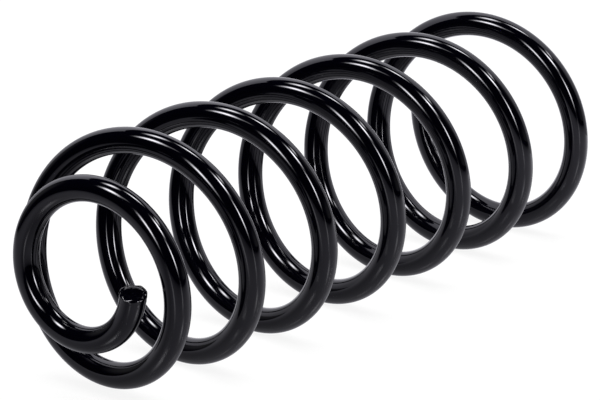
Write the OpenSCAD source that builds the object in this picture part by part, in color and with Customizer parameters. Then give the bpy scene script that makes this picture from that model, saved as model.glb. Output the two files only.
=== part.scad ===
// Helical compression spring with one pigtail end, wound right-handed from round bar.
// It lies on its side, as it comes to rest: the coil's axis runs along X, Z is up,
// and the pigtail is at the -X end. The floor is at Z = 0. All sizes are in millimetres.

/* [Bar] */
// Diameter of the round bar
wire_dia = 13; // [10:0.5:15]
// Rounding left on the edges of the sheared ends
edge_round = 1; // [0.2:0.1:2]

/* [Main coil] */
// Diameter of the open turns, from centre to centre of the bar
coil_dia = 113; // [95:1:140]
// Turns of bar from one end to the other
turn_count = 7.48; // [5:0.02:9]
// Advance of one open turn along the axis
pitch = 58; // [35:1:70]

/* [Pigtail end] */
// Radius from the axis to the middle of the bar at the pigtail's tip
tip_radius = 31; // [25:0.5:40]
// Turns over which the pigtail opens out to the main coil
widen_turns = 1.55; // [1.2:0.05:2]
// Turns at the tip that lie flat in the seat
flat_turns = 0.35; // [0.2:0.05:0.8]
// Turns over which the pitch then rises to that of the main coil
lead_turns = 1.3; // [0.8:0.05:2]
// Lean of the sheared face towards the seat, in degrees from square
shear_lean = 20; // [0:1:25]

/* [Open end] */
// Turns over which the pitch eases off towards the far end
ease_turns = 0.95; // [0.5:0.05:1.5]
// Advance per turn that is left where the bar is sheared off
end_pitch = 24; // [15:1:35]

/* [Fineness] */
// Sides of the bar's section
section_sides = 16; // [12:2:16]
// Rings along the whole bar
ring_budget = 360; // [200:1:368]

/* [Hidden] */
full_turn = 360;
quarter_turn = 90;
rise_start = flat_turns;
rise_stop = flat_turns + lead_turns;
ease_start = turn_count - ease_turns;

// Radius of a section polygon that has the same area as the round bar
side_angle = full_turn / section_sides;
section_radius = wire_dia / 2 * sqrt(2 * PI / (section_sides * sin(side_angle)));

// Integral of a slope that is nought up to start, one from stop on, and straight between
function eased_sum(turn, start, stop) =
    let (held = max(start, min(stop, turn)))
    pow(held - start, 2) / (2 * (stop - start)) + max(turn - stop, 0);

// How much of a change is made by this share of its length: slow at first and at last
function eased_share(share) =
    let (held = max(0, min(1, share)))
    held < 0.5 ? 2 * pow(held, 2) : 1 - 2 * pow(1 - held, 2);

// Distance from the axis to the middle of the bar
function turn_radius(turn) =
    tip_radius + (coil_dia / 2 - tip_radius) * eased_share(turn / widen_turns);

// Distance that the middle of the bar has advanced along the axis
function advance(turn) =
    pitch * eased_sum(turn, rise_start, rise_stop)
    - (pitch - end_pitch) * eased_sum(turn, ease_start, turn_count);

// Middle of the bar after so many turns, with the coil rolled about its axis
function bar_middle(turn, roll) = [
    advance(turn),
    turn_radius(turn) * cos(full_turn * turn + roll),
    turn_radius(turn) * sin(full_turn * turn + roll)
];

function unit(v) = v / norm(v);

// Direction of the bar
turn_nudge = 0.0005;
function bar_direction(turn, roll) =
    unit(bar_middle(turn + turn_nudge, roll) - bar_middle(turn - turn_nudge, roll));

// Direction straight out from the axis, square to the bar
function outward(turn, roll) =
    let (angle = full_turn * turn + roll)
    let (ray = [0, cos(angle), sin(angle)])
    let (along = bar_direction(turn, roll))
    unit(ray - (ray * along) * along);

// The coil is rolled so that its centre of mass hangs straight below the axis
sample_count = 720;
sample_step = turn_count / sample_count;
sample_turns = [for (i = [0:sample_count - 1]) (i + 0.5) * sample_step];
sample_weights = [
    for (turn = sample_turns)
        norm(bar_middle(turn + sample_step / 2, 0) - bar_middle(turn - sample_step / 2, 0))
];
mass_middle = sample_weights * [for (turn = sample_turns) bar_middle(turn, 0)];
rest_roll = -quarter_turn - atan2(mass_middle[2], mass_middle[1]);

// Rings stand half a step each side of the lowest line, so that every turn has a
// short flat on the floor. They keep clear of the sheared ends.
rings_per_turn = floor(ring_budget / turn_count);
ring_step = 1 / rings_per_turn;
end_gap = 1.5 * ring_step;
lowest_turn = (-quarter_turn - rest_roll) / full_turn;
first_ring = ceil((end_gap - lowest_turn) * rings_per_turn - 0.5);
last_ring = floor((turn_count - end_gap - lowest_turn) * rings_per_turn - 0.5);
inner_turns = [
    for (k = [first_ring:last_ring]) lowest_turn + (k + 0.5) * ring_step
];

// Each end is sheared off, with its edge rounded over in three rings: the pigtail's
// face leans towards the seat, the far one is square.
// A ring is its place in turns, its shift along the bar, its radius and its slope.
half_corner = 45;
edge_rings = [
    [0, section_radius - edge_round],
    [edge_round * (1 - cos(half_corner)), section_radius - edge_round * (1 - sin(half_corner))],
    [edge_round, section_radius]
];
rings = concat(
    [for (edge = edge_rings) [0, edge[0], edge[1], tan(shear_lean)]],
    [for (turn = inner_turns) [turn, 0, section_radius, 0]],
    [for (i = [2:-1:0]) [turn_count, -edge_rings[i][0], edge_rings[i][1], 0]]
);
ring_count = len(rings);

function ring_points(ring) =
    let (turn = ring[0])
    let (along = bar_direction(turn, rest_roll))
    let (out = outward(turn, rest_roll))
    let (across = cross(along, out))
    let (middle = bar_middle(turn, rest_roll) + ring[1] * along)
    [
        for (j = [0:section_sides - 1])
            let (spoke = ring[2] * (cos(j * side_angle) * out + sin(j * side_angle) * across))
            middle + spoke - ring[3] * spoke[0] * along
    ];

loose_points = [for (ring = rings) each ring_points(ring)];
low_x = min([for (p = loose_points) p[0]]);
high_x = max([for (p = loose_points) p[0]]);
low_y = min([for (p = loose_points) p[1]]);
high_y = max([for (p = loose_points) p[1]]);
low_z = min([for (p = loose_points) p[2]]);
settle = [-(low_x + high_x) / 2, -(low_y + high_y) / 2, -low_z];

side_faces = [
    for (i = [0:ring_count - 2])
        for (j = [0:section_sides - 1])
            let (near = i * section_sides)
            let (far = near + section_sides)
            let (next = (j + 1) % section_sides)
            [near + j, far + j, far + next, near + next]
];
near_cap = [for (j = [0:section_sides - 1]) j];
far_cap = [for (j = [section_sides - 1:-1:0]) (ring_count - 1) * section_sides + j];

// The whole spring: one bar, bent along its path
module coil_spring() {
    color([0.02, 0.02, 0.022])
    translate(settle)
    polyhedron(
        points = loose_points,
        faces = concat(side_faces, [near_cap], [far_cap]),
        convexity = 20
    );
}

coil_spring();
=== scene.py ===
"""A helical spring: one painted bar, lying on a white floor in soft studio light."""
import math

import bpy
from mathutils import Matrix, Quaternion, Vector, noise


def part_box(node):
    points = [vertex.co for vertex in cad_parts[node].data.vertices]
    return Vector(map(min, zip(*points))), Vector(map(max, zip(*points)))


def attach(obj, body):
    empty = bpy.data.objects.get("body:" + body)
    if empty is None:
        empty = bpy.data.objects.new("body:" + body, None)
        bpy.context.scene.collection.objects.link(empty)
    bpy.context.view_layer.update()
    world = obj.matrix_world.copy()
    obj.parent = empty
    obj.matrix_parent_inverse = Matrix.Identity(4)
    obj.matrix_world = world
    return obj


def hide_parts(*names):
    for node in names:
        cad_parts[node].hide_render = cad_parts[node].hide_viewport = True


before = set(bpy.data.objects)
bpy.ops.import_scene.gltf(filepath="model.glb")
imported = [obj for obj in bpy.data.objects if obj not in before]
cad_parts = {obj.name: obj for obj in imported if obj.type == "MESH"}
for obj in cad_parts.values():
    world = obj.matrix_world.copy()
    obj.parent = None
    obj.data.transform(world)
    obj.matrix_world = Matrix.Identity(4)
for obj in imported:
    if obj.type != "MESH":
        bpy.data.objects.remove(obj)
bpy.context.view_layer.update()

# Lengths are in metres unless a comment says otherwise
MM = 0.001
FULL_TURN = 2 * math.pi

# Straight up, and level to one side of the coil's axis
UP = Vector((0, 0, 1))
BESIDE_COIL = Vector((0, 1, 0))

# The spring's own sizes, with places along the bar in turns
BAR_RADIUS = 6.5 * MM
COIL_RADIUS = 56.5 * MM
TURN_COUNT = 7.48
PITCH = 58 * MM
TIP_RADIUS = 31 * MM
WIDEN_TURNS = 1.55
FLAT_TURNS = 0.35
LEAD_TURNS = 1.3
EASE_TURNS = 0.95
END_PITCH = 24 * MM

# Fineness of the spring's mesh
SECTION_SIDES = 48
RINGS_PER_TURN = 150
MASS_SAMPLES = 720
TURN_NUDGE = 0.0005
EDGE_STEPS = 6
FACE_STEPS = 24
END_RING_STEP = 0.4 * MM

# The sheared ends: their rounded edge, and how far along the bar the shear has left its marks
EDGE_ROUND = 0.75 * MM
END_ZONE = 7 * MM

# The pigtail's face stands out a little and leans, as rise over run, two ways
TIP_RISE = 0.6 * MM
LEAN_TO_SEAT = 0.30
LEAN_OUTWARDS = 0.20

# The paint's bead round a face, and the slight dome of the face
PAINT_BEAD = 0.2 * MM
BEAD_LENGTH = 2.2 * MM
FACE_DOME = 0.15 * MM

# The edge that the shear rolled over, from this share of the radius outwards, and one score in it
ROLL_OVER_DEPTH = 1.0 * MM
ROLL_OVER_START = 0.2
ROLL_OVER_ANGLE = math.radians(42)
GROOVE_DEPTH = 0.40 * MM
GROOVE_RADIUS = 4.9 * MM
GROOVE_WIDTH = 0.6 * MM

# The roughness of a face: its depth, the share of it in the middle, the power of the radius by
# which it grows outwards, and the size of its grain and of its finer chips
SHEAR_ROUGHNESS = 0.5 * MM
SHEAR_MIDDLE = 0.10
SHEAR_SPREAD = 4
SHEAR_GRAIN = 2.4 * MM
CHIP_GRAIN = SHEAR_GRAIN / 2
CHIP_OFFSET = Vector((7, 3, 5))

# The paint: its colours, the patches in its gloss, its faint orange peel and its broader runs
PAINT_COLOR = (0.0004, 0.0003, 0.0018, 1)
PAINT_TINT = (0.94, 0.93, 1.0, 1)
PAINT_IOR = 1.38
SMOOTH_PAINT = 0.03
DULL_PAINT = 0.08
PATCHES_PER_METRE = 90
PATCH_DETAIL = 3
PEEL_PER_METRE = 700
PEEL_STRENGTH = 0.25
PEEL_DEPTH = 0.02 * MM
RUNS_PER_METRE = 120
RUN_STRENGTH = 0.4
RUN_DEPTH = 0.08 * MM
RELIEF_DETAIL = 2

# The camera, fitted to the photograph: angles in degrees, lens and sensor in millimetres
CAMERA_AZIMUTH = 52.493
CAMERA_ELEVATION = 15.860
CAMERA_ROLL = -1.5145
CAMERA_DISTANCE = 1.7407
CAMERA_TARGET = Vector((-0.009551, 0, 0.058936))
CAMERA_LENS = 203.782
SENSOR_WIDTH = 36

# Bearings in degrees, to the left of straight behind the coil as the camera sees it
BEHIND = 0
LEFT = 90
RIGHT = -90

# The floor, the lamp above it with its power in watts, and the world's light
FLOOR_SIZE = 12
FLOOR_GLOW = 0.89
FLOOR_GREY = 0.13
LAMP_SIZE = 2.5
LAMP_HEIGHT = 2.2
LAMP_POWER = 60
WORLD_LIGHT = 0.5
WHITE = (1, 1, 1, 1)
COOL_WHITE = (0.93, 0.92, 1.0, 1)

# The dark room
ROOM_RADIUS = 3
ROOM_SEGMENTS = 32
ROOM_RINGS = 16
ROOM_GREY = 0.01

# Straight steps round the table's rim, and along the paper
CURVE_STEPS = 48

# The table top and its sheen. It lies this far below the floor, so as not to meet it.
TABLE_RADIUS = 0.90
TABLE_DROP = 1 * MM
TABLE_SHEEN = 0.06
SHEEN_ROUGHNESS = 0.2

# The table's glow is painted light. It fades with the distance from a place to the left of the
# coil and behind it. Distance along the coil's axis counts for less.
TABLE_LIGHT_LEFT = 0.074
TABLE_LIGHT_BACK = 0.158
TABLE_SQUASH = 0.68
TABLE_FADE_START = 0.34
TABLE_FADE_STOP = 0.64

# The table's painted glow on the left and on the right, and how far to the right each is reached
TABLE_GLOW_LEFT = 0.69
TABLE_GLOW_RIGHT = 1.27
TABLE_LEFT = 0
TABLE_RIGHT = 0.36

# The table's painted glow grows by this factor towards the back, from one distance to another
TABLE_BACK_GLOW = 1.80
TABLE_BACK_START = 0.10
TABLE_BACK_STOP = 0.42

# Painted shadow of the coil on the table: the share of the table's glow that is left below the
# coil's axis, and how far to the side it is whole again
COIL_SHADE = 0.52
COIL_SHADE_WIDTH = 0.09

# The paper behind: its distance from the coil, its height and the bearings of its ends
SWEEP_RADIUS = 0.42
SWEEP_HEIGHT = 0.69
SWEEP_LEFT = 75
SWEEP_RIGHT = -73

# The paper's painted light low down and high up, and the heights between which it rises
SWEEP_GLOW_LOW = 0.60
SWEEP_GLOW_HIGH = 1.90
SWEEP_RISE_START = 0.09
SWEEP_RISE_STOP = 0.50

# The painted light added at the paper's foot, up to a height, and the bearing along which it
# begins at one distance and is whole at another
FOOT_GLOW = 0.75
FOOT_HEIGHT = 0.24
FOOT_BEARING = -14
FOOT_START = 0.30
FOOT_STOP = 0.39

# The point that the soft panels face
COIL_MIDDLE = Vector((0, 0, COIL_RADIUS + BAR_RADIUS))


# The bar's path


def eased_sum(turn, start, stop):
    """Integral of a slope that is nought up to start, one from stop on, and straight between."""
    held = max(start, min(stop, turn))
    return (held - start) ** 2 / (2 * (stop - start)) + max(turn - stop, 0)


def eased_share(share):
    """How much of a change is made by this share of its length: slow at first and at last."""
    held = max(0, min(1, share))
    return 2 * held ** 2 if held < 0.5 else 1 - 2 * (1 - held) ** 2


def turn_radius(turn):
    """Distance from the axis to the middle of the bar."""
    return TIP_RADIUS + (COIL_RADIUS - TIP_RADIUS) * eased_share(turn / WIDEN_TURNS)


def advance(turn):
    """Distance that the bar has advanced along the axis."""
    rise = PITCH * eased_sum(turn, FLAT_TURNS, FLAT_TURNS + LEAD_TURNS)
    return rise - (PITCH - END_PITCH) * eased_sum(turn, TURN_COUNT - EASE_TURNS, TURN_COUNT)


def bar_middle(turn, roll):
    """Middle of the bar after so many turns, with the coil rolled about its axis."""
    angle = FULL_TURN * turn + roll
    radius = turn_radius(turn)
    return Vector((advance(turn), radius * math.cos(angle), radius * math.sin(angle)))


def rest_roll():
    """The roll at which the centre of mass hangs straight below the axis."""
    step = TURN_COUNT / MASS_SAMPLES
    total = Vector()
    for i in range(MASS_SAMPLES):
        turn = (i + 0.5) * step
        piece = bar_middle(turn + step / 2, 0) - bar_middle(turn - step / 2, 0)
        total += piece.length * bar_middle(turn, 0)
    return -FULL_TURN / 4 - math.atan2(total.z, total.y)


REST_ROLL = rest_roll()


def coil_start():
    """Where the axis begins: the coil is centred in its box and rests on the floor."""
    low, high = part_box("coil_spring")
    middle = (low.x + high.x) / 2
    return Vector((middle - advance(TURN_COUNT) / 2, 0, low.z + COIL_RADIUS + BAR_RADIUS))


COIL_START = coil_start()


def bar_frame(turn):
    """Middle of the bar, its direction, the direction away from the axis, and the one across."""
    middle = bar_middle(turn, REST_ROLL)
    along = bar_middle(turn + TURN_NUDGE, REST_ROLL) - bar_middle(turn - TURN_NUDGE, REST_ROLL)
    along.normalize()
    angle = FULL_TURN * turn + REST_ROLL
    ray = Vector((0, math.cos(angle), math.sin(angle)))
    out = (ray - ray.dot(along) * along).normalized()
    return COIL_START + middle, along, out, along.cross(out)


# The spring's mesh


def end_profile():
    """Radius and depth of the rings on a sheared face and its edge, from the middle outwards."""
    flat = BAR_RADIUS - EDGE_ROUND
    face = [(flat * i / FACE_STEPS, 0) for i in range(1, FACE_STEPS + 1)]
    edge = []
    for i in range(1, EDGE_STEPS + 1):
        angle = math.pi / 2 * i / EDGE_STEPS
        edge.append((flat + EDGE_ROUND * math.sin(angle), EDGE_ROUND * (1 - math.cos(angle))))
    return face + edge


def turn_length(turn):
    """Length of bar in one turn, as it runs at this place."""
    stretch = bar_middle(turn + TURN_NUDGE, 0) - bar_middle(turn - TURN_NUDGE, 0)
    return stretch.length / (2 * TURN_NUDGE)


def zone_rings(end_turn, inward):
    """Rings close together along the first millimetres of the bar at one end."""
    length = turn_length(end_turn)
    count = round((END_ZONE - EDGE_ROUND) / END_RING_STEP)
    rings = []
    for i in range(1, count + 1):
        depth = EDGE_ROUND + i * END_RING_STEP
        rings.append((end_turn + inward * depth / length, 0, BAR_RADIUS, depth))
    return rings


def all_rings():
    """Every ring: its turn, its shift along the bar, its radius and its depth behind the end."""
    profile = end_profile()
    near = [(0, depth, radius, depth) for radius, depth in profile]
    near += zone_rings(0, 1)
    far = [(TURN_COUNT, -depth, radius, depth) for radius, depth in profile]
    far += zone_rings(TURN_COUNT, -1)
    far.reverse()
    first = near[-1][0]
    last = far[0][0]
    count = round((last - first) * RINGS_PER_TURN)
    step = (last - first) / count
    body = [(first + i * step, 0, BAR_RADIUS, END_ZONE) for i in range(1, count)]
    return near + body + far


def shear_fall(radius, direction, out):
    """How far a sheared face falls away where the shear rolled it over, with one score."""
    outward = direction.dot(out)
    aside = math.cos(ROLL_OVER_ANGLE) * direction.x - math.sin(ROLL_OVER_ANGLE) * outward
    reach = max(0, (radius / BAR_RADIUS * aside - ROLL_OVER_START) / (1 - ROLL_OVER_START))
    place = (radius - GROOVE_RADIUS) / GROOVE_WIDTH
    score = GROOVE_DEPTH * max(0, aside) * math.exp(-place * place)
    return ROLL_OVER_DEPTH * reach * reach + score


def face_height(radius, direction, out, end_side):
    """How far a sheared face stands out. The pigtail's leans, and the far one is square."""
    fall = shear_fall(radius, direction, out)
    if end_side > 0:
        return -fall
    lean = LEAN_TO_SEAT * direction.x - LEAN_OUTWARDS * direction.dot(out)
    return TIP_RISE + lean * radius - fall


def shear_shift(point, height, radius, depth):
    """How far the shear moved a point: along the bar towards its end, and away from its middle."""
    fade = max(0, 1 - depth / END_ZONE)
    rim = math.exp(-((BAR_RADIUS - radius) / EDGE_ROUND) ** 2) * math.exp(-depth / BEAD_LENGTH)
    dome = FACE_DOME * (1 - (radius / BAR_RADIUS) ** 2)
    grain = noise.noise(point / SHEAR_GRAIN)
    chip = noise.noise(point / CHIP_GRAIN + CHIP_OFFSET)
    ragged = SHEAR_MIDDLE + (1 - SHEAR_MIDDLE) * (radius / BAR_RADIUS) ** SHEAR_SPREAD
    rough = SHEAR_ROUGHNESS * ragged * fade * (grain + chip / 2)
    along = (height + dome + rough) * fade
    away = rim * (PAINT_BEAD + SHEAR_ROUGHNESS * chip / 2)
    return along, away


def ring_points(ring, end_side):
    """The points of one ring, with the marks of the shear where it is near an end."""
    turn, shift, radius, depth = ring
    middle, along, out, across = bar_frame(turn)
    middle = middle + shift * along
    points = []
    for j in range(SECTION_SIDES):
        angle = FULL_TURN * j / SECTION_SIDES
        direction = math.cos(angle) * out + math.sin(angle) * across
        point = middle + radius * direction
        if depth < END_ZONE:
            height = face_height(radius, direction, out, end_side)
            lengthwise, away = shear_shift(point, height, radius, depth)
            point = point + end_side * lengthwise * along + away * direction
        points.append(point)
    return points


def face_middle(turn, end_side):
    """The middle point of a sheared face."""
    middle, along, out, _ = bar_frame(turn)
    lengthwise, _ = shear_shift(middle, face_height(0, out, out, end_side), 0, 0)
    return middle + end_side * lengthwise * along


def build_spring():
    """The whole bar as one closed mesh, from one sheared face to the other."""
    rings = all_rings()
    points = []
    for ring in rings:
        end_side = -1 if ring[0] < TURN_COUNT / 2 else 1
        points += ring_points(ring, end_side)
    faces = []
    for i in range(len(rings) - 1):
        near = i * SECTION_SIDES
        far = near + SECTION_SIDES
        for j in range(SECTION_SIDES):
            beside = (j + 1) % SECTION_SIDES
            faces.append((near + j, near + beside, far + beside, far + j))
    near_centre = len(points)
    far_centre = near_centre + 1
    points.append(face_middle(0, -1))
    points.append(face_middle(TURN_COUNT, 1))
    last = (len(rings) - 1) * SECTION_SIDES
    for j in range(SECTION_SIDES):
        beside = (j + 1) % SECTION_SIDES
        faces.append((near_centre, beside, j))
        faces.append((far_centre, last + j, last + beside))
    mesh = bpy.data.meshes.new("painted_bar")
    mesh.from_pydata(points, [], faces)
    mesh.polygons.foreach_set("use_smooth", [True] * len(mesh.polygons))
    mesh.update()
    spring = bpy.data.objects.new("painted_bar", mesh)
    bpy.context.scene.collection.objects.link(spring)
    return spring


# Directions in the studio


def look_direction():
    """The camera's line of sight."""
    azimuth = math.radians(CAMERA_AZIMUTH)
    elevation = math.radians(CAMERA_ELEVATION)
    flat = math.cos(elevation)
    return Vector((math.sin(azimuth) * flat, math.cos(azimuth) * flat, -math.sin(elevation)))


def bearing_direction(bearing, elevation=0):
    """A direction from the coil, from its bearing and its elevation in degrees."""
    angle = math.radians(90 - CAMERA_AZIMUTH + bearing)
    rise = math.radians(elevation)
    flat = math.cos(rise)
    return Vector((math.cos(angle) * flat, math.sin(angle) * flat, math.sin(rise)))


# Shader nodes


def new_material(name):
    """An empty material, and its tree of nodes."""
    material = bpy.data.materials.new(name)
    material.use_nodes = True
    material.node_tree.nodes.clear()
    return material, material.node_tree


def new_node(tree, kind, inputs, operation=None):
    """A node with its inputs given: another node's output is linked, a plain value written in."""
    node = tree.nodes.new(kind)
    if operation:
        node.operation = operation
    for socket, value in inputs.items():
        if isinstance(value, bpy.types.NodeSocket):
            tree.links.new(value, node.inputs[socket])
        else:
            node.inputs[socket].default_value = value
    return node


def show(tree, shader):
    """Give a material's surface this shader."""
    new_node(tree, "ShaderNodeOutputMaterial", {"Surface": shader})


def object_place(tree):
    """A point's place in its object's own coordinates."""
    return tree.nodes.new("ShaderNodeTexCoord").outputs["Object"]


def noise_level(tree, place, bumps_per_metre, detail):
    """A noise that is fixed to the object."""
    inputs = {"Vector": place, "Scale": bumps_per_metre, "Detail": detail}
    return new_node(tree, "ShaderNodeTexNoise", inputs).outputs["Fac"]


def ramp(tree, source, start, stop):
    """A level that runs straight from start to stop, each a pair of source and level."""
    inputs = {
        "Value": source,
        "From Min": start[0],
        "From Max": stop[0],
        "To Min": start[1],
        "To Max": stop[1],
    }
    return new_node(tree, "ShaderNodeMapRange", inputs).outputs["Result"]


def math_node(tree, operation, first, second=0):
    """Two levels put together, each a node's output or a number."""
    return new_node(tree, "ShaderNodeMath", {0: first, 1: second}, operation).outputs["Value"]


def vector_node(tree, operation, first, second):
    """Two vectors put together, each a node's output or a vector."""
    return new_node(tree, "ShaderNodeVectorMath", {0: first, 1: second}, operation)


def distance_along(tree, place, direction):
    """How far a point lies from the middle of the studio in one direction."""
    return vector_node(tree, "DOT_PRODUCT", place, direction).outputs["Value"]


def relief(tree, level, strength, depth, below=None):
    """The surface's normal under a relief, which may lie on top of another one."""
    inputs = {"Height": level, "Strength": strength, "Distance": depth}
    if below:
        inputs["Normal"] = below
    return new_node(tree, "ShaderNodeBump", inputs).outputs["Normal"]


def glow(tree, color, strength):
    """A surface that glows."""
    inputs = {"Color": color, "Strength": strength}
    return new_node(tree, "ShaderNodeEmission", inputs).outputs["Emission"]


def matt_surface(tree, grey):
    """A plain matt surface."""
    inputs = {"Color": (grey, grey, grey, 1)}
    return new_node(tree, "ShaderNodeBsdfDiffuse", inputs).outputs["BSDF"]


def both_shaders(tree, first, second):
    """Two shaders added up."""
    return new_node(tree, "ShaderNodeAddShader", {0: first, 1: second}).outputs["Shader"]


def background(tree, strength):
    """A white background of one strength."""
    inputs = {"Color": WHITE, "Strength": strength}
    return new_node(tree, "ShaderNodeBackground", inputs).outputs["Background"]


# Materials


def black_paint():
    """Baked black gloss paint: nearly black below, a clear skin on top with a faint orange peel."""
    material, tree = new_material("black_paint")
    place = object_place(tree)
    paint = tree.nodes.new("ShaderNodeBsdfPrincipled")
    paint.inputs["Base Color"].default_value = PAINT_COLOR
    paint.inputs["IOR"].default_value = PAINT_IOR
    paint.inputs["Specular Tint"].default_value = PAINT_TINT

    patches = noise_level(tree, place, PATCHES_PER_METRE, PATCH_DETAIL)
    roughness = ramp(tree, patches, (0, SMOOTH_PAINT), (1, DULL_PAINT))
    tree.links.new(roughness, paint.inputs["Roughness"])

    peel_level = noise_level(tree, place, PEEL_PER_METRE, RELIEF_DETAIL)
    peel = relief(tree, peel_level, PEEL_STRENGTH, PEEL_DEPTH)
    runs_level = noise_level(tree, place, RUNS_PER_METRE, RELIEF_DETAIL)
    runs = relief(tree, runs_level, RUN_STRENGTH, RUN_DEPTH, below=peel)
    tree.links.new(runs, paint.inputs["Normal"])
    show(tree, paint.outputs["BSDF"])
    return material


def white_floor():
    """A floor that shows white and still takes a faint shadow."""
    material, tree = new_material("white_floor")
    show(tree, both_shaders(tree, glow(tree, WHITE, FLOOR_GLOW), matt_surface(tree, FLOOR_GREY)))
    return material


def dark_room():
    """The walls of the room, which are nearly black."""
    material, tree = new_material("dark_room")
    show(tree, matt_surface(tree, ROOM_GREY))
    return material


def table_glow(tree):
    """Painted light on the table: it fades outwards, and varies across and under the coil."""
    place = object_place(tree)
    squashed = vector_node(tree, "MULTIPLY", place, (TABLE_SQUASH, 1, 1)).outputs["Vector"]
    to_left = TABLE_LIGHT_LEFT * bearing_direction(LEFT)
    to_back = TABLE_LIGHT_BACK * bearing_direction(BEHIND)
    outwards = vector_node(tree, "DISTANCE", squashed, to_left + to_back).outputs["Value"]
    rightwards = distance_along(tree, place, bearing_direction(RIGHT))
    backwards = distance_along(tree, place, bearing_direction(BEHIND))
    # Distance beside the coil's axis, which sets the painted shadow under it
    sideways = math_node(tree, "ABSOLUTE", distance_along(tree, place, BESIDE_COIL))
    shares = (
        ramp(tree, rightwards, (TABLE_LEFT, TABLE_GLOW_LEFT), (TABLE_RIGHT, TABLE_GLOW_RIGHT)),
        ramp(tree, sideways, (0, COIL_SHADE), (COIL_SHADE_WIDTH, 1)),
        ramp(tree, backwards, (TABLE_BACK_START, 1), (TABLE_BACK_STOP, TABLE_BACK_GLOW)),
    )
    level = ramp(tree, outwards, (TABLE_FADE_START, 1), (TABLE_FADE_STOP, 0))
    for share in shares:
        level = math_node(tree, "MULTIPLY", level, share)
    return level


def pale_table():
    """A pale table top with a soft sheen and a painted glow of light."""
    material, tree = new_material("pale_table")
    inputs = {"Color": (TABLE_SHEEN, TABLE_SHEEN, TABLE_SHEEN, 1), "Roughness": SHEEN_ROUGHNESS}
    sheen = new_node(tree, "ShaderNodeBsdfAnisotropic", inputs).outputs["BSDF"]
    show(tree, both_shaders(tree, glow(tree, COOL_WHITE, table_glow(tree)), sheen))
    return material


def white_paper():
    """The paper behind the spring, whose painted light is stronger towards its top and at its foot.
    """
    material, tree = new_material("white_paper")
    place = object_place(tree)
    height = distance_along(tree, place, UP)
    low = (SWEEP_RISE_START, SWEEP_GLOW_LOW)
    high = (SWEEP_RISE_STOP, SWEEP_GLOW_HIGH)
    upper = ramp(tree, height, low, high)
    foot = ramp(tree, height, (0, FOOT_GLOW), (FOOT_HEIGHT, 0))
    backwards = distance_along(tree, place, bearing_direction(FOOT_BEARING))
    straight_behind = ramp(tree, backwards, (FOOT_START, 0), (FOOT_STOP, 1))
    lower = math_node(tree, "MULTIPLY", foot, straight_behind)
    show(tree, glow(tree, COOL_WHITE, math_node(tree, "ADD", upper, lower)))
    return material


def fading_glow(name, fade, strength):
    """A white glow that is strongest in the middle of a round panel and fades out at its rim."""
    material, tree = new_material(name)
    place = object_place(tree)
    square = vector_node(tree, "DOT_PRODUCT", place, place).outputs["Value"]
    inside = ramp(tree, square, (0, 1), (1, 0))
    faded = math_node(tree, "POWER", inside, fade)
    lit = glow(tree, WHITE, math_node(tree, "MULTIPLY", faded, strength))
    clear = tree.nodes.new("ShaderNodeBsdfTransparent").outputs["BSDF"]
    show(tree, both_shaders(tree, lit, clear))
    return material


# The studio


def add_camera():
    """The camera at the photograph's viewing angle."""
    camera = bpy.data.objects.new("camera", bpy.data.cameras.new("camera"))
    camera.data.sensor_width = SENSOR_WIDTH
    camera.data.lens = CAMERA_LENS
    look = look_direction()
    camera.location = CAMERA_TARGET - look * CAMERA_DISTANCE
    roll = Quaternion((0, 0, 1), math.radians(CAMERA_ROLL))
    camera.rotation_euler = (look.to_track_quat("-Z", "Y") @ roll).to_euler()
    bpy.context.scene.collection.objects.link(camera)
    bpy.context.scene.camera = camera


def stage_object(name, points, faces, material):
    """A piece of the studio, which isn't part of the spring."""
    mesh = bpy.data.meshes.new(name)
    mesh.from_pydata(points, [], faces)
    mesh.materials.append(material)
    piece = bpy.data.objects.new(name, mesh)
    bpy.context.scene.collection.objects.link(piece)
    return piece


def stage_square(name, half, material):
    """A flat square of the studio, given half its side."""
    corners = [(-half, -half, 0), (half, -half, 0), (half, half, 0), (-half, half, 0)]
    return stage_object(name, corners, [(0, 1, 2, 3)], material)


def seen_by(piece, camera=False, diffuse=False, glossy=False):
    """Which rays meet a piece of the studio. No piece casts a shadow."""
    piece.visible_camera = camera
    piece.visible_transmission = camera
    piece.visible_diffuse = diffuse
    piece.visible_glossy = glossy
    piece.visible_shadow = False


def add_floor():
    """The floor that the camera sees."""
    seen_by(stage_square("floor", FLOOR_SIZE / 2, white_floor()), camera=True)


def add_table():
    """The round table top under the spring, which its paint reflects."""
    rim = []
    for i in range(CURVE_STEPS):
        angle = FULL_TURN * i / CURVE_STEPS
        rim.append((TABLE_RADIUS * math.cos(angle), TABLE_RADIUS * math.sin(angle), -TABLE_DROP))
    table = stage_object("table", rim, [tuple(range(CURVE_STEPS))], pale_table())
    seen_by(table, diffuse=True, glossy=True)


def add_sweep():
    """The white paper that curves round behind the spring, which its paint reflects."""
    points = []
    for i in range(CURVE_STEPS + 1):
        bearing = SWEEP_RIGHT + (SWEEP_LEFT - SWEEP_RIGHT) * i / CURVE_STEPS
        foot = SWEEP_RADIUS * bearing_direction(bearing)
        points.append((foot.x, foot.y, 0))
        points.append((foot.x, foot.y, SWEEP_HEIGHT))
    faces = [(2 * i, 2 * i + 2, 2 * i + 3, 2 * i + 1) for i in range(CURVE_STEPS)]
    seen_by(stage_object("sweep", points, faces, white_paper()), glossy=True)


def add_room():
    """The dark room beyond the table, which the paint reflects in front and above."""
    bpy.ops.mesh.primitive_uv_sphere_add(
        segments=ROOM_SEGMENTS, ring_count=ROOM_RINGS, radius=ROOM_RADIUS
    )
    room = bpy.context.object
    room.name = "room"
    room.data.materials.append(dark_room())
    seen_by(room, glossy=True)


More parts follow.
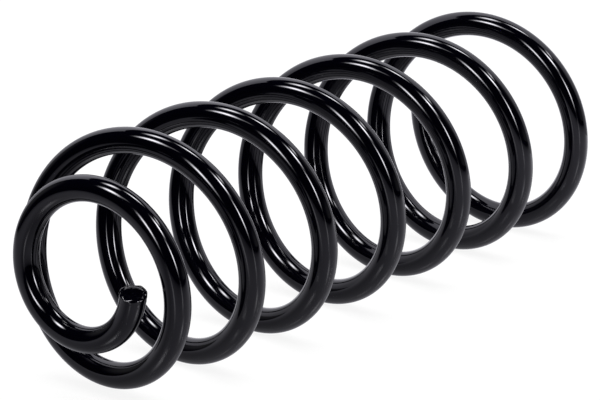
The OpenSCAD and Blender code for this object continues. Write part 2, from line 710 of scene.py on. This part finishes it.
def soft_panel(name, place, size, lean, fade, strength):
    """A glowing oval that faces the coil and shows in its paint, leaned over in its own plane.

    Its place is its bearing, its elevation and its distance. Its size is its width and height.
    """
    bearing, elevation, distance = place
    width, height = size
    outward = bearing_direction(bearing, elevation)
    level = UP.cross(outward).normalized()
    rise = outward.cross(level)
    angle = math.radians(lean)
    across = math.cos(angle) * level + math.sin(angle) * rise
    up = math.cos(angle) * rise - math.sin(angle) * level
    panel = stage_square(name, 1, fading_glow(name, fade, strength))
    panel.location = COIL_MIDDLE + outward * distance
    panel.rotation_euler = Matrix((across, up, outward)).transposed().to_euler()
    panel.scale = (width / 2, height / 2, 1)
    seen_by(panel, glossy=True)


def add_soft_panels():
    """The panels whose reflections run along the bar as bright lines."""
    soft_panel("left_upper", (127.5, 48.6, 1.8), (0.94, 0.72), lean=20, fade=4.0, strength=52)
    soft_panel("left_low", (156.3, 18.3, 1.5), (0.46, 1.38), lean=1, fade=6, strength=44)
    soft_panel("left_haze", (146.7, 51.5, 1.6), (0.48, 0.23), lean=17, fade=2.6, strength=5)
    soft_panel("right_upper", (-129.7, 45.6, 1.4), (0.45, 0.91), lean=-11, fade=4.8, strength=66)
    soft_panel("right_low", (-139.4, 16.5, 1.5), (0.40, 1.45), lean=-1, fade=6, strength=52)
    soft_panel("right_side", (-93.7, 48.1, 1.85), (0.90, 0.41), lean=3, fade=5.5, strength=20)
    soft_panel("left_wall", (70, 14, 1.5), (1.1, 1.3), lean=0, fade=1.5, strength=0.20)
    soft_panel("right_wall", (-76, 30, 1.5), (1.0, 1.1), lean=0, fade=1.5, strength=0.28)
    soft_panel("right_horizon", (-90, -2, 1.5), (1.6, 0.7), lean=0, fade=1.5, strength=0.20)
    soft_panel("overhead_left", (54.2, 77.4, 2.1), (1.07, 0.74), lean=-37, fade=3.3, strength=34)
    soft_panel("overhead_right", (-64.3, 73.2, 1.45), (0.86, 0.38), lean=52, fade=4.9, strength=46)


def add_soft_light():
    """One broad lamp overhead, which lights the floor and casts the faint shadow."""
    light = bpy.data.lights.new("soft_light", "AREA")
    light.shape = "DISK"
    light.size = LAMP_SIZE
    light.energy = LAMP_POWER
    lamp = bpy.data.objects.new("soft_light", light)
    lamp.location = (0, 0, LAMP_HEIGHT)
    lamp.visible_glossy = False
    lamp.visible_camera = False
    bpy.context.scene.collection.objects.link(lamp)


def add_world():
    """White to the camera and in glossy and clear surfaces, with a plain grey light on matt ones."""
    world = bpy.data.worlds.new("world")
    world.use_nodes = True
    tree = world.node_tree
    tree.nodes.clear()
    path = tree.nodes.new("ShaderNodeLightPath")
    seen = path.outputs["Is Camera Ray"]
    for ray in ("Is Glossy Ray", "Is Transmission Ray"):
        seen = math_node(tree, "MAXIMUM", seen, path.outputs[ray])
    inputs = {"Fac": seen, 1: background(tree, WORLD_LIGHT), 2: background(tree, 1)}
    mix = new_node(tree, "ShaderNodeMixShader", inputs)
    new_node(tree, "ShaderNodeOutputWorld", {"Surface": mix.outputs["Shader"]})
    bpy.context.scene.world = world


# Putting it together


def add_spring():
    """The spring, in place of its plain solid."""
    spring = build_spring()
    spring.data.materials.append(black_paint())
    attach(spring, "root")
    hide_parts("coil_spring")


add_camera()
add_spring()
add_floor()
add_table()
add_sweep()
add_room()
add_soft_panels()
add_soft_light()
add_world()
bpy.context.scene.view_settings.view_transform = "Standard"
